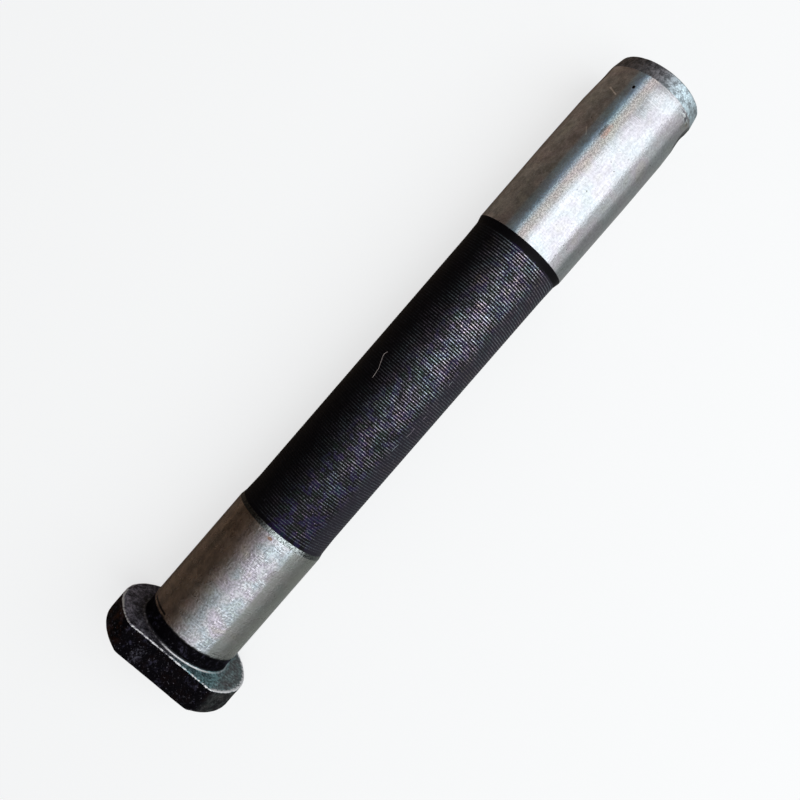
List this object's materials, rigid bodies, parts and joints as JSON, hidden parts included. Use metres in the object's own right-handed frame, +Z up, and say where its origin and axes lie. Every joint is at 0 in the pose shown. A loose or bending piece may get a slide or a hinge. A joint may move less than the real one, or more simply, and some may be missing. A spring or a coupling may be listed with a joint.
{
  "type": "track chain pin",
  "caption": "Headed steel pin with flats on its round head, ground lands either side of a finely turned middle, and a cross hole for a split pin near its tapered tail.",
  "frame": {"origin": "on the surface the pin lies on, under the middle of its length and width", "axes": "+X towards the tail, along the pin as it lies (its own axis falls 0.6 degrees towards the tail); +Z up, square to the head's flats within the same 0.6 degrees; +Y across, level; the cross hole runs across too, turned 5 degrees about the pin so that its mouth at -Y is the higher"},
  "size_m": [0.2643, 0.0536, 0.0405],
  "materials": {
    "steel": "bright ground lands, black as-forged head and neck, black oxide over fine turning marks on the middle"
  },
  "bodies": {
    "root": {"track_pin": "steel"}
  },
  "joints": []
}
